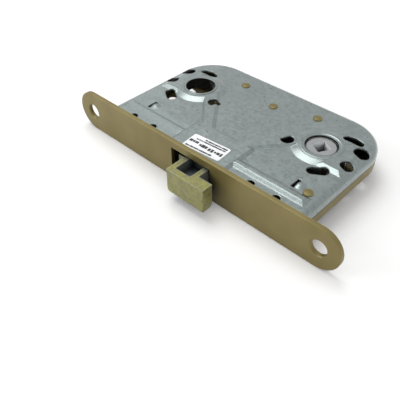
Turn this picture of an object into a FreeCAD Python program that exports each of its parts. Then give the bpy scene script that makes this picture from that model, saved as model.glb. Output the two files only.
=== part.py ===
import FreeCAD
import Part
import Sketcher
import os
import re

# Sliding door lock case, built in millimetres.
# X runs along the faceplate, Y into the case from the faceplate's front face, and Z up through the cover.
# The origin is midway between the two faceplate screws, on the front face and at mid width.

SIZES = {
    # Faceplate
    "plate_length": 168,
    "plate_width": 22,
    "plate_thickness": 2.3,
    "plate_edge_round": 0.4,
    "screw_inset": 10.7,
    "screw_hole_radius": 4.1,
    "screw_sink": 0.4,
    "window_left": 11.95,
    "window_right": 13.2,
    "window_half_height": 7.2,
    # Case outline
    "case_left": 61.9,
    "case_right": 62.4,
    "case_depth": 82,
    "case_half_height": 6.6,
    "corner_radius": 23.1,
    "sheet": 1.1,
    "rim_round": 3.5,
    "seam_height": 1.6,
    "seam_gap": 0.3,
    "upstand_gap": 0.1,
    # Raised pads, pressed into cover and floor alike
    "pad_height": 1.2,
    "pad_slope": 45,
    "bead_slope": 60,
    "side_slope": 65,
    "plateau_left": 17.8,
    "plateau_right": 18.6,
    "plateau_rear": 26,
    "bead_front": 9.7,
    "bead_rear": 16,
    "bead_end": 58,
    "band_inner": 5.1,
    "band_outer": 14.8,
    "ring_pad_radius": 14.9,
    "ring_slope": 72,
    "side_pad_inner": 5,
    "side_pad_front": 36.6,
    "side_pad_rear": 63.4,
    # Bores and fixing holes
    "bore_pitch": 80,
    "backset": 50,
    "bore_radius": 8.1,
    "collar_wall": 1.1,
    "collar_depth": 4.5,
    "collar_lip": 0.3,
    "bore_mouth": 1.9,
    "bore_mouth_depth": 0.5,
    "fixing_x": 57,
    "fixing_front_y": 45,
    "fixing_rear_y": 58,
    "fixing_front_radius": 3.3,
    "fixing_rear_radius": 3.9,
    "pattern_shift": 0.9,
    "slot_inner_x": 45.9,
    "slot_inner_y": 32.4,
    "slot_outer_x": 50.1,
    "slot_outer_y": 35.2,
    "slot_radius": 2.7,
    "kidney_reach": 3.2,
    "kidney_middle_x": 47.9,
    "kidney_middle_y": 15.3,
    "kidney_bow": 0.8,
    "kidney_radius": 2.3,
    "sight_hole_x": 24.1,
    "sight_hole_y": 42.7,
    "sight_hole_radius": 3.4,
    "sight_hole_flat": 2,
    "sight_hole_turn": 158,
    "lug_hole_near_x": 32,
    "lug_hole_far_x": 46.2,
    "lug_hole_y": 6.2,
    "lug_hole_radius": 2.1,
    "tongue_x": 46.8,
    "tongue_y": 20.2,
    "tongue_slot_width": 1.7,
    "tongue_slot_length": 6.4,
    "tongue_width": 2.7,
    "tongue_height": 0.9,
    # Rivets that hold cover and tray together
    "rivet_row_x": 24,
    "rivet_row_inset": 13,
    "middle_rivet_x": 1.3,
    "middle_rivet_inset": 19.5,
    "front_rivet_x": 54.5,
    "front_rivet_y": 18.5,
    "pillar_radius": 2.6,
    "rivet_radius": 1.6,
    "rivet_head_radius": 2.4,
    "rivet_head_height": 0.4,
    # Hook bolt
    "bolt_half_height": 6.55,
    "bolt_left": 2.6,
    "bolt_reach": 12.4,
    "nose_tip": 20.4,
    "nose_thickness": 6.3,
    "neck_right": 12.3,
    "neck_end": 4,
    "pocket_left": 0.3,
    "pocket_right": 9.5,
    "pocket_front": 3.4,
    "pocket_rear": 2.4,
    "pocket_web": 1,
    "bolt_lower_round": 1.9,
    "bolt_corner_round": 0.6,
    "tail_bottom": -1.2,
    "tail_top": 5.2,
    "tail_margin": 3.6,
    "stop_lug_left": 9.5,
    "stop_lug_thickness": 1.4,
    "stop_lug_half_height": 2.8,
    # Cranks that carry the bolt, and the link that drives them
    "crank_reach": 11.13,
    "crank_lean": 10,
    "front_pin_x": 8.5,
    "front_pin_y": 9.5,
    "rear_pin_x": 1.6,
    "rear_pin_y": 19.3,
    "drive_reach": 13,
    "drive_angle": 165,
    "crank_bottom": -4.6,
    "crank_top": -2.1,
    "crank_eye": 3.2,
    "crank_hub": 3.4,
    "pin_radius": 1.6,
    "pin_head_radius": 2.5,
    "pin_head_height": 0.5,
    "link_bottom": -1.8,
    "link_top": 0.4,
    "link_half_width": 1.9,
    "turning_gap": 0.08,
    "open_pivot_gap": 0.15,
    "post_radius": 2,
    "post_shoulder": 3,
    "tenon_radius": 1.3,
    "washer_thickness": 0.4,
    "clip_thickness": 0.5,
    "clip_radius": 3,
    # Follower for the thumb turn
    "hub_half_height": 6.9,
    "hub_disc_radius": 7.5,
    "hub_flange_radius": 9.6,
    "hub_flange_top": 6.3,
    "hub_flange_bottom": 5,
    "hub_neck_radius": 7,
    "hub_edge": 0.4,
    "spindle_square": 7,
    "spindle_turn": 60,
    "press_gap": 0.03,
    "follower_crank_radius": 9.6,
    "cam_half_width": 7,
    "cam_corner": 4.7,
    "cam_bottom": 1.2,
    "cam_top": 4.4,
    "thrust_washer_inner": 8.3,
    "thrust_washer_outer": 9.5,
    # Detent spring
    "spring_thickness": 0.7,
    "spring_gap": 0.1,
    "spring_loop_radius": 1.9,
    "spring_post_radius": 1.15,
    "spring_post_spread": 9.5,
    # Sticker
    "label_length": 21.8,
    "label_width": 10.8,
    "label_thickness": 0.12,
    "label_round": 1.2,
    "label_x": 0.9,
    "label_y": 11.1,
    "label_turn": 5,
}

doc = FreeCAD.newDocument("lock_case")
sheet = doc.addObject("Spreadsheet::Sheet", "Sizes")
for row, (name, value) in enumerate(SIZES.items(), start=1):
    sheet.set(f"A{row}", name)
    sheet.set(f"B{row}", str(value))
    sheet.setAlias(f"B{row}", name)
doc.recompute()


def formula(text):
    """Point every size name in a formula at the sheet."""
    def cell(word):
        return f"Sizes.{word.group()}" if word.group() in SIZES else word.group()
    return re.sub(r"[A-Za-z_]+", cell, str(text))


def amount(text):
    """Work out a formula from the sheet's present values."""
    result = sheet.evalExpression(formula(text))
    return float(getattr(result, "Value", result))


def bind(thing, path, text):
    thing.setExpression(path, formula(text))


# Places that several pieces share
CASE_FRONT = "plate_thickness"
FLOOR = "-(case_half_height - sheet)"
LOW_FLOOR = "-(case_half_height + pad_height - sheet)"
FLOOR_SKIN = "-case_half_height"
LOW_FLOOR_SKIN = "-(case_half_height + pad_height)"
HUB_X = "bore_pitch / 2"
HANDLE_X = "-bore_pitch / 2"
SCREW_X = "(plate_length / 2 - screw_inset)"
CRANK_DX = "crank_reach * sin(crank_lean)"
CRANK_DY = "crank_reach * cos(crank_lean)"
DRIVE_DX = "drive_reach * cos(drive_angle)"
DRIVE_DY = "drive_reach * sin(drive_angle)"
FRONT_PIN = ("front_pin_x", "front_pin_y")
REAR_PIN = ("rear_pin_x", "rear_pin_y")
FRONT_PIVOT = (f"front_pin_x + {CRANK_DX}", f"front_pin_y + {CRANK_DY}")
REAR_PIVOT = (f"rear_pin_x + {CRANK_DX}", f"rear_pin_y + {CRANK_DY}")
REAR_LINK_PIN = (f"{REAR_PIVOT[0]} + {DRIVE_DX}", f"{REAR_PIVOT[1]} + {DRIVE_DY}")
HUB_LINK_PIN = (f"{HUB_X} + {DRIVE_DX}", f"backset + {DRIVE_DY}")


# Sketches
def new_body(name):
    body = doc.addObject("PartDesign::Body", name)
    body.Label = name
    return body


def new_sketch(body, lift="0", role="XY_Plane"):
    plane = next(item for item in body.Origin.OriginFeatures if item.Role == role)
    sketch = body.newObject("Sketcher::SketchObject", f"{body.Name}_sketch")
    sketch.AttachmentSupport = [(plane, "")]
    sketch.MapMode = "FlatFace"
    bind(sketch, "AttachmentOffset.Base.z", lift)
    return sketch


def hold(sketch, kind, shape, point, text):
    """Hold one coordinate of a sketched point, counted from the sketch's origin."""
    number = sketch.addConstraint(Sketcher.Constraint(kind, -1, 1, shape, point, amount(text)))
    bind(sketch, f"Constraints[{number}]", text)


def hold_point(sketch, shape, point, x, y):
    hold(sketch, "DistanceX", shape, point, x)
    hold(sketch, "DistanceY", shape, point, y)


def hold_radius(sketch, shape, text):
    number = sketch.addConstraint(Sketcher.Constraint("Radius", shape, amount(text)))
    bind(sketch, f"Constraints[{number}]", text)


def circle(sketch, x, y, radius):
    centre = FreeCAD.Vector(amount(x), amount(y), 0)
    shape = sketch.addGeometry(Part.Circle(centre, FreeCAD.Vector(0, 0, 1), amount(radius)), False)
    hold_point(sketch, shape, 3, x, y)
    hold_radius(sketch, shape, radius)


def polygon(sketch, corners):
    """Draw straight sides through corners (x, y), or (x, y, radius) at a square rounded corner."""
    places = [FreeCAD.Vector(amount(corner[0]), amount(corner[1]), 0) for corner in corners]
    count = len(corners)
    leave = list(places)
    arrive = list(places)
    for index, corner in enumerate(corners):
        if len(corner) == 3:
            radius = amount(corner[2])
            before = (places[index - 1] - places[index]).normalize()
            after = (places[(index + 1) % count] - places[index]).normalize()
            arrive[index] = places[index] + before * radius
            leave[index] = places[index] + after * radius
    sides = []
    for index in range(count):
        line = Part.LineSegment(leave[index], arrive[(index + 1) % count])
        sides.append(sketch.addGeometry(line, False))
    for index, corner in enumerate(corners):
        if len(corner) == 2:
            link = Sketcher.Constraint("Coincident", sides[index - 1], 2, sides[index], 1)
            sketch.addConstraint(link)
            hold_point(sketch, sides[index], 1, corner[0], corner[1])
            continue
        radius = amount(corner[2])
        centre = arrive[index] + leave[index] - places[index]
        middle = centre + (places[index] - centre).normalize() * radius
        arc = Part.Arc(arrive[index], middle, leave[index])
        curve = sketch.addGeometry(arc, False)
        starts_at_arrival = (sketch.getPoint(curve, 1) - arrive[index]).Length < radius / 100
        first, last = (1, 2) if starts_at_arrival else (2, 1)
        sketch.addConstraint(Sketcher.Constraint("Tangent", sides[index - 1], 2, curve, first))
        sketch.addConstraint(Sketcher.Constraint("Tangent", sides[index], 1, curve, last))
        side_x = 1 if centre.x > places[index].x else -1
        side_y = 1 if centre.y > places[index].y else -1
        centre_x = f"({corner[0]}) + {side_x} * ({corner[2]})"
        centre_y = f"({corner[1]}) + {side_y} * ({corner[2]})"
        hold_point(sketch, curve, 3, centre_x, centre_y)
        hold_radius(sketch, curve, corner[2])


def rectangle(sketch, left, front, right, rear):
    polygon(sketch, [(left, front), (right, front), (right, rear), (left, rear)])


def stadium(sketch, start, end, radius):
    """Draw two half rounds of one radius about two points, joined by straight sides."""
    a = FreeCAD.Vector(amount(start[0]), amount(start[1]), 0)
    b = FreeCAD.Vector(amount(end[0]), amount(end[1]), 0)
    size = amount(radius)
    along = (b - a).normalize() * size
    across = FreeCAD.Vector(-along.y, along.x, 0)
    near = sketch.addGeometry(Part.Arc(a + across, a - along, a - across), False)
    low = sketch.addGeometry(Part.LineSegment(a - across, b - across), False)
    far = sketch.addGeometry(Part.Arc(b - across, b + along, b + across), False)
    high = sketch.addGeometry(Part.LineSegment(b + across, a + across), False)
    for line, line_end, curve, corner in ((low, 1, near, a - across), (low, 2, far, b - across),
                                          (high, 1, far, b + across), (high, 2, near, a + across)):
        at_start = (sketch.getPoint(curve, 1) - corner).Length < size / 100
        curve_end = 1 if at_start else 2
        sketch.addConstraint(Sketcher.Constraint("Tangent", line, line_end, curve, curve_end))
    sketch.addConstraint(Sketcher.Constraint("Equal", near, far))
    hold_point(sketch, near, 3, start[0], start[1])
    hold_point(sketch, far, 3, end[0], end[1])
    hold_radius(sketch, near, radius)


# Solid features
def pad(body, sketch, length, reverse=False, taper=None):
    feature = body.newObject("PartDesign::Pad", f"{body.Name}_pad")
    feature.Profile = sketch
    feature.Reversed = reverse
    bind(feature, "Length", length)
    if taper is not None:
        bind(feature, "TaperAngle", taper)
    doc.recompute()
    return feature


def pocket(body, sketch, depth, reverse=False):
    before = body.Shape.Volume
    feature = body.newObject("PartDesign::Pocket", f"{body.Name}_pocket")
    feature.Profile = sketch
    feature.Reversed = reverse
    bind(feature, "Length", depth)
    doc.recompute()
    if body.Shape.Volume > before - 1e-6:
        raise RuntimeError(f"{feature.Name} cuts nothing")
    return feature


def edges_where(feature, test):
    return [f"Edge{number}" for number, edge in enumerate(feature.Shape.Edges, start=1) if test(edge)]


def round_edges(body, test, radius, kind="Fillet"):
    base = body.Tip
    feature = body.newObject(f"PartDesign::{kind}", f"{body.Name}_{kind.lower()}")
    feature.Base = (base, edges_where(base, test))
    bind(feature, "Radius" if kind == "Fillet" else "Size", radius)
    doc.recompute()
    return feature


def plate(name, bottom, top, draw):
    """Make a flat piece between two heights from one drawn outline."""
    body = new_body(name)
    sketch = new_sketch(body, bottom)
    draw(sketch)
    pad(body, sketch, f"({top}) - ({bottom})")
    return body


def pierce(body, bottom, depth, draw):
    sketch = new_sketch(body, bottom)
    draw(sketch)
    return pocket(body, sketch, depth, reverse=True)


def place(thing, x, y, z):
    for axis, text in zip("xyz", (x, y, z)):
        bind(thing, f"Placement.Base.{axis}", text)
    return thing


def rod(name, x, y, bottom, top, radius):
    thing = doc.addObject("Part::Cylinder", name)
    bind(thing, "Radius", radius)
    bind(thing, "Height", f"({top}) - ({bottom})")
    return place(thing, x, y, bottom)


def block(name, low, high):
    thing = doc.addObject("Part::Box", name)
    for side, start, end in zip(("Length", "Width", "Height"), low, high):
        bind(thing, side, f"({end}) - ({start})")
    return place(thing, *low)


def join(name, pieces):
    thing = doc.addObject("Part::MultiFuse", name)
    thing.Shapes = pieces
    thing.Label = name
    return thing


def cut(name, base, tool):
    thing = doc.addObject("Part::Cut", name)
    thing.Base = base
    thing.Tool = tool
    thing.Label = name
    return thing


def group(name, pieces, lift="0"):
    thing = doc.addObject("Part::Compound", name)
    thing.Links = pieces
    thing.Label = name
    bind(thing, "Placement.Base.z", lift)
    return thing


def mirrored(name, source):
    """Reflect a shape from above the middle plane to below it."""
    thing = doc.addObject("Part::Mirroring", name)
    thing.Source = source
    thing.Normal = FreeCAD.Vector(0, 0, 1)
    return thing


def ring(name, x, y, bottom, top, outer, inner):
    rim = rod(f"{name}_rim", x, y, bottom, top, outer)
    eye = rod(f"{name}_eye", x, y, bottom, top, inner)
    return cut(name, rim, eye)


# Case
def case_outline(sketch, inset, front):
    """Draw the case's plan, drawn in by an inset."""
    left = f"-(case_left - ({inset}))"
    right = f"case_right - ({inset})"
    rear = f"case_depth - ({inset})"
    corner = f"corner_radius - ({inset})"
    polygon(sketch, [(left, front), (right, front), (right, rear, corner), (left, rear, corner)])


def pan(name, height, front_wall):
    """Draw a sheet pan with its flat face up, a soft bend and walls that hang down by a height."""
    body = plate(name, f"case_half_height - ({height})", "case_half_height",
                 lambda sketch: case_outline(sketch, "0", CASE_FRONT))

    def bend(level, front):
        def test(edge):
            box = edge.BoundBox
            return abs(box.ZMin - amount(level)) < 0.01 and box.ZLength < 0.01 and box.YMax > amount(front) + 0.01
        return test

    round_edges(body, bend("case_half_height", CASE_FRONT), "rim_round")
    inside = new_sketch(body, "case_half_height - sheet")
    case_outline(inside, "sheet", f"{CASE_FRONT} + ({front_wall})")
    pocket(body, inside, height)
    round_edges(body, bend("case_half_height - sheet", f"{CASE_FRONT} + sheet"), "rim_round - sheet")
    return body


def pressed_pads():
    """Draw the raised pads that stiffen both faces, standing on the plane Z = 0."""
    body = new_body("pressed_pads")
    front = f"{CASE_FRONT} - 3"
    outlines = [("pad_slope", [("-plateau_left", front), ("plateau_right", front),
                               ("plateau_right", "plateau_rear"), ("-plateau_left", "plateau_rear")])]
    for side, plateau, wall in ((-1, "plateau_left", "case_left"), (1, "plateau_right", "case_right")):
        bead_start = f"{side} * ({plateau} - 3)"
        bead_end = f"{side} * bead_end"
        outlines.append(("bead_slope", [(bead_start, "bead_front"), (bead_end, "bead_front"),
                                        (bead_end, "bead_rear"), (bead_start, "bead_rear")]))
        bore = f"{side} * bore_pitch / 2"
        outlines.append(("pad_slope", [
            (f"{side} * band_inner", "plateau_rear - 3"), (f"{side} * band_outer", "plateau_rear - 2"),
            (f"{bore} - {side} * ring_pad_radius * 0.54", "backset - ring_pad_radius * 0.44"),
            (f"{bore} - {side} * ring_pad_radius * 0.56", "backset + ring_pad_radius * 0.51")]))
        inner = f"{bore} + {side} * side_pad_inner"
        outer = f"{side} * ({wall} - rim_round)"
        outlines.append(("side_slope", [(inner, "side_pad_front"), (outer, "side_pad_front"),
                                        (outer, "side_pad_rear"), (inner, "side_pad_rear")]))
    for slope, outline in outlines:
        sketch = new_sketch(body)
        polygon(sketch, outline)
        pad(body, sketch, "pad_height", taper=f"-{slope}")
    for bore in (HANDLE_X, HUB_X):
        sketch = new_sketch(body)
        circle(sketch, bore, "backset", "ring_pad_radius")
        pad(body, sketch, "pad_height", taper="-ring_slope")
    return body


def through_holes():
    """Holes that run through cover and floor alike: the two bores and the four fixing holes."""
    bottom = "-(case_half_height + 2 * pad_height)"
    top = "case_half_height + 2 * pad_height"
    tools = [rod("handle_bore", HANDLE_X, "backset", bottom, top, "bore_radius"),
             rod("follower_bore", HUB_X, "backset", bottom, top, "bore_radius")]
    for side, word in ((-1, "left"), (1, "right")):
        for spot in ("front", "rear"):
            tools.append(rod(f"{word}_{spot}_fixing", f"{side} * fixing_x", f"fixing_{spot}_y",
                             bottom, top, f"fixing_{spot}_radius"))
    return join("through_holes", tools)


def sight_hole(name, x, y, turn, bottom, top):
    """Round hole with one flat side, the flat turned to an angle."""
    disc = rod(f"{name}_disc", x, y, bottom, top, "sight_hole_radius")
    reach = "(sight_hole_radius + 1)"
    keep = block(f"{name}_keep", (f"-{reach}", f"-{reach}", bottom), ("sight_hole_flat", reach, top))
    keep.Placement.Rotation = FreeCAD.Rotation(FreeCAD.Vector(0, 0, 1), 1)
    bind(keep, "Placement.Rotation.Angle", turn)
    place(keep, f"{x} - {reach} * cos({turn}) + {reach} * sin({turn})",
          f"{y} - {reach} * sin({turn}) - {reach} * cos({turn})", bottom)
    hole = doc.addObject("Part::MultiCommon", name)
    hole.Shapes = [disc, keep]
    return hole


def cover_only_holes():
    """Holes that only the cover has: slots, kidneys, sight holes, lug holes and tongue slots."""
    bottom = "case_half_height - 2 * sheet"
    top = "case_half_height + 2 * pad_height"
    tools = []
    for side, word in ((-1, "left"), (1, "right")):
        slot = [(f"{side} * slot_{spot}_x + pattern_shift", f"slot_{spot}_y") for spot in ("inner", "outer")]
        tools.append(plate(f"{word}_slot", bottom, top, lambda sketch: stadium(sketch, *slot, "slot_radius")))
        middle_x = f"{side} * kidney_middle_x + pattern_shift"
        middle = (middle_x, "backset + kidney_middle_y")
        for end in (-1, 1):
            tip = (f"{middle_x} + {end} * kidney_reach", "backset + kidney_middle_y - kidney_bow")
            tools.append(plate(f"{word}_kidney_{end + 1}", bottom, top,
                               lambda sketch: stadium(sketch, middle, tip, "kidney_radius")))
        turn = f"(sight_hole_turn - {90 * (1 - side)})"
        tools.append(sight_hole(f"{word}_sight_hole", f"{side} * sight_hole_x + pattern_shift", "sight_hole_y",
                                turn, bottom, top))
        for spot in ("near", "far"):
            tools.append(rod(f"{word}_{spot}_lug_hole", f"{side} * lug_hole_{spot}_x", "lug_hole_y",
                             bottom, top, "lug_hole_radius"))
        tools.append(block(f"{word}_tongue_slot",
                           (f"{side} * tongue_x - tongue_slot_width / 2",
                            "tongue_y - tongue_slot_length / 2", bottom),
                           (f"{side} * tongue_x + tongue_slot_width / 2",
                            "tongue_y + tongue_slot_length / 2", top)))
    mouth = doc.addObject("Part::Cone", "follower_bore_mouth")
    bind(mouth, "Radius1", "bore_radius - bore_mouth")
    bind(mouth, "Radius2", "bore_radius + bore_mouth")
    bind(mouth, "Height", "2 * bore_mouth_depth")
    tools.append(place(mouth, HUB_X, "backset", "case_half_height + pad_height - bore_mouth_depth"))
    return join("cover_only_holes", tools)


def collar(name, top):
    """Short drawn collar round the handle bore, down from a height."""
    bottom = "case_half_height + pad_height - sheet - collar_depth"
    return rod(name, HANDLE_X, "backset", bottom, top, "bore_radius + collar_wall")


def case_shells():
    """Form the cover and the tray from two pans, the pressed pads and the holes."""
    pads = pressed_pads()
    raised = group("pads_outside", [pads], "case_half_height")
    hollow = group("pads_inside", [pads], "case_half_height - sheet")
    holes = through_holes()
    trim_low = ("-case_left - 5", f"{CASE_FRONT} - 9", "-20")
    trim_high = ("case_right + 5", CASE_FRONT, "20")

    tongues = []
    for side, word in ((-1, "left"), (1, "right")):
        tongue = doc.addObject("Part::Cone", f"{word}_tongue")
        bind(tongue, "Radius1", "tongue_width")
        bind(tongue, "Radius2", "tongue_width / 3")
        bind(tongue, "Height", "tongue_height")
        tongues.append(place(tongue, f"{side} * tongue_x + tongue_slot_width / 2 + tongue_width / 2", "tongue_y",
                             "case_half_height"))
    upper = pan("cover_pan", "case_half_height - seam_height", "-2 * sheet")
    upper_formed = cut("cover_formed", join("cover_raised", [upper, raised]), hollow)
    upper_collar = collar("cover_collar", "case_half_height + pad_height + collar_lip")
    upper_whole = join("cover_whole", [upper_formed, upper_collar] + tongues)
    front_above = block("front_trim_above", trim_low, trim_high)
    cover = cut("cover_before_riveting", upper_whole, join("holes_above", [holes, cover_only_holes(), front_above]))

    lower = mirrored("tray_pan", pan("tray_pan_upright", "case_half_height + seam_height - seam_gap", "sheet"))
    lower_raised = join("tray_raised", [lower, mirrored("tray_pads_outside", raised)])
    lower_formed = cut("tray_formed", lower_raised, mirrored("tray_pads_inside", hollow))
    lower_collar = mirrored("tray_collar", collar("tray_collar_upright", "case_half_height + pad_height / 2"))
    upstands = []
    for side, word, inner, outer in ((-1, "left", "plateau_left", "case_left"),
                                     (1, "right", "plateau_right", "case_right")):
        ends = (f"{side} * {inner}", f"{side} * ({outer} - rim_round)")
        low, high = ends if side > 0 else (ends[1], ends[0])
        upstands.append(block(f"{word}_upstand", (low, CASE_FRONT, "seam_height - seam_gap - sheet"),
                              (high, f"{CASE_FRONT} + sheet", "case_half_height - sheet - upstand_gap")))
    lower_whole = join("tray_whole", [lower_formed, lower_collar] + upstands)
    doorway = block("bolt_doorway", ("-plateau_left", f"{CASE_FRONT} - 9", LOW_FLOOR),
                    ("plateau_right", f"{CASE_FRONT} + 2 * sheet", "20"))
    front_below = block("front_trim_below", trim_low, trim_high)
    tenon_holes = [rod(f"tenon_hole_{number}", x, y, "-(case_half_height + 2 * pad_height)", "0", "tenon_radius")
                   for number, (x, y, _) in enumerate(POSTS)]
    tray = cut("tray_before_riveting", lower_whole, join("holes_below", [holes, doorway, front_below] + tenon_holes))

    bores = [rod(f"rivet_hole_{number}", x, y, "-20", "20", "rivet_radius")
             for number, (x, y) in enumerate(RIVETS)]
    rivet_holes = join("rivet_holes", bores)
    return [cut("cover", cover, rivet_holes), cut("tray", tray, rivet_holes)]


RIVET_ROW_Y = "case_depth - rivet_row_inset"
RIVETS = [("-rivet_row_x + pattern_shift", RIVET_ROW_Y), ("rivet_row_x + pattern_shift", RIVET_ROW_Y),
          ("middle_rivet_x", "case_depth - middle_rivet_inset"), ("front_rivet_x", "front_rivet_y")]
SPRING_POST_X = f"{HUB_X} + cam_half_width + spring_gap + spring_loop_radius"
POSTS = [(*FRONT_PIVOT, "low"), (*REAR_PIVOT, "flat"),
         (SPRING_POST_X, "backset - spring_post_spread", "low"),
         (SPRING_POST_X, "backset + spring_post_spread", "low")]


def faceplate():
    """Long plate with round ends, two countersunk screw holes and the bolt's window."""
    body = new_body("faceplate")
    outline = new_sketch(body, "0", "XZ_Plane")
    end = "(plate_length - plate_width) / 2"
    stadium(outline, (f"-{end}", "0"), (end, "0"), "plate_width / 2")
    pad(body, outline, "plate_thickness", reverse=True)
    round_edges(body, lambda edge: edge.BoundBox.YMax < 0.01, "plate_edge_round")
    window = new_sketch(body, "0", "XZ_Plane")
    rectangle(window, "-window_left", "-window_half_height", "window_right", "window_half_height")
    pocket(body, window, "plate_thickness")
    holes = new_sketch(body, "0", "XZ_Plane")
    circle(holes, f"-{SCREW_X}", "0", "screw_hole_radius")
    circle(holes, SCREW_X, "0", "screw_hole_radius")
    pocket(body, holes, "plate_thickness")

    def mouth(edge):
        box = edge.BoundBox
        at_front = box.YMax < 0.01
        round_hole = abs(box.XLength - 2 * amount("screw_hole_radius")) < 0.01
        return at_front and round_hole

    round_edges(body, mouth, "screw_sink", kind="Chamfer")
    return body


def rivets():
    """Four shouldered rivets: a pillar between the sheets, a tenon and a head at each end."""
    solids = []
    for number, (x, y) in enumerate(RIVETS):
        pillar = rod(f"pillar_{number}", x, y, FLOOR, "case_half_height - sheet", "pillar_radius")
        tenon = rod(f"tenon_{number}", x, y, "-(case_half_height + rivet_head_height)",
                    "case_half_height + rivet_head_height", "rivet_radius")
        upper = rod(f"upper_head_{number}", x, y, "case_half_height",
                    "case_half_height + rivet_head_height", "rivet_head_radius")
        lower = rod(f"lower_head_{number}", x, y, "-(case_half_height + rivet_head_height)",
                    FLOOR_SKIN, "rivet_head_radius")
        solids.append(join(f"case_rivet_{number}", [pillar, tenon, upper, lower]))
    return group("case_rivets", solids)


# Bolt
def hook_bolt():
    """Cast bolt: a hook-shaped head, a hollowed neck and a flat tail that rides on two crank pins."""
    body = new_body("hook_bolt")
    profile = new_sketch(body, "-bolt_half_height")
    nose_back = "-(bolt_reach - nose_thickness)"
    polygon(profile, [("-bolt_left", "-bolt_reach"), ("nose_tip", "-bolt_reach"), ("nose_tip", nose_back),
                      ("neck_right", nose_back), ("neck_right", "neck_end"), ("-bolt_left", "neck_end")])
    pad(body, profile, "2 * bolt_half_height")

    def lower_edge(edge):
        box = edge.BoundBox
        low = box.ZMax < -amount("bolt_half_height") + 0.01
        left = box.XMax < -amount("bolt_left") + 0.01
        behind_nose = abs(box.YMin - amount(nose_back)) < 0.01 and box.YLength < 0.01
        return low and (left or behind_nose)

    def front_corner(edge):
        box = edge.BoundBox
        upright = box.ZLength > amount("bolt_half_height")
        return upright and box.YMax < -amount("bolt_reach") + 0.01

    round_edges(body, lower_edge, "bolt_lower_round")
    round_edges(body, front_corner, "bolt_corner_round")
    for side in (1, -1):
        recess = new_sketch(body, f"{side} * bolt_half_height")
        rectangle(recess, "pocket_left", "-bolt_reach + pocket_front", "pocket_right", "pocket_rear")
        pocket(body, recess, "bolt_half_height - pocket_web", reverse=side < 0)
    tail = new_sketch(body, "tail_bottom")
    polygon(tail, [("-bolt_left", "pocket_rear"), ("neck_right", "pocket_rear"),
                   ("neck_right", "front_pin_y + tail_margin"),
                   ("rear_pin_x + tail_margin", "rear_pin_y + tail_margin"),
                   ("-bolt_left", "rear_pin_y + tail_margin")])
    pad(body, tail, "tail_top - tail_bottom")
    lug = new_sketch(body, "-stop_lug_half_height")
    rectangle(lug, "-stop_lug_left", "neck_end - stop_lug_thickness", "-bolt_left + 1", "neck_end")
    pad(body, lug, "2 * stop_lug_half_height")
    pierce(body, "tail_bottom", "tail_top - tail_bottom",
           lambda sketch: circle(sketch, *FRONT_PIN, "pin_radius + turning_gap"))
    pierce(body, "tail_bottom", "tail_top - tail_bottom",
           lambda sketch: circle(sketch, *REAR_PIN, "pin_radius + open_pivot_gap"))
    return body


# Drive
def crank(name, pivot, pins):
    """Flat crank with a hub on its pivot and an arm to each pin."""
    height = "crank_top - crank_bottom"
    body = plate(name, "crank_bottom", "crank_top", lambda sketch: circle(sketch, *pivot, "crank_hub"))
    for pin in pins:
        arm = new_sketch(body, "crank_bottom")
        stadium(arm, pivot, pin, "crank_eye")
        pad(body, arm, height)
    pierce(body, "crank_bottom", height, lambda sketch: circle(sketch, *pivot, "post_radius + turning_gap"))
    for pin in pins:
        pierce(body, "crank_bottom", height, lambda sketch: circle(sketch, *pin, "pin_radius"))
    return body


def bolt_pin(name, spot):
    return rod(name, *spot, "crank_bottom", "tail_top - 0.2", "pin_radius")


def link_pin(name, spot):
    """Headed pin that keeps the link on a crank."""
    shank = rod(f"{name}_shank", *spot, "crank_bottom", "link_top + pin_head_height + 0.1", "pin_radius")
    head = rod(f"{name}_head", *spot, "link_top + 0.1", "link_top + pin_head_height + 0.1", "pin_head_radius")
    return join(name, [shank, head])


def drive_link():
    """Flat link between the follower's crank and the rear crank, with an eye at each end."""
    height = "link_top - link_bottom"
    body = plate("drive_link", "link_bottom", "link_top",
                 lambda sketch: stadium(sketch, REAR_LINK_PIN, HUB_LINK_PIN, "link_half_width"))
    for spot in (REAR_LINK_PIN, HUB_LINK_PIN):
        eye = new_sketch(body, "link_bottom")
        circle(eye, *spot, "crank_eye")
        pad(body, eye, height)
    pierce(body, "link_bottom", height,
           lambda sketch: circle(sketch, *REAR_LINK_PIN, "pin_radius + open_pivot_gap"))
    pierce(body, "link_bottom", height,
           lambda sketch: circle(sketch, *HUB_LINK_PIN, "pin_radius + turning_gap"))
    return body


def post(name, x, y, level, shoulder, bearing, shank, top):
    """Post riveted flush into the floor: a tenon, a shoulder up to its bearing face and a shank."""
    skin = LOW_FLOOR_SKIN if level == "low" else FLOOR_SKIN
    floor = LOW_FLOOR if level == "low" else FLOOR
    tenon = rod(f"{name}_tenon", x, y, skin, floor, "tenon_radius")
    base = rod(f"{name}_base", x, y, floor, bearing, shoulder)
    stem = rod(f"{name}_stem", x, y, floor, top, shank)
    return join(name, [tenon, base, stem])


def crank_fittings():
    """Pivot posts, the washers under the cranks and the clips over them."""
    bearing = "crank_bottom - washer_thickness"
    clip_top = "crank_top + clip_thickness"
    posts = [post(f"crank_post_{number}", *POSTS[number], "post_shoulder", bearing, "post_radius", clip_top)
             for number in (0, 1)]
    washers = [ring(f"crank_washer_{number}", *POSTS[number][:2], bearing, "crank_bottom",
                    "post_shoulder", "post_radius + press_gap") for number in (0, 1)]
    clips = [ring(f"clip_{number}", *POSTS[number][:2], "crank_top", clip_top,
                  "clip_radius", "post_radius + press_gap") for number in (0, 1)]
    return [group("crank_posts", posts), group("crank_washers", washers), group("crank_clips", clips)]


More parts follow.
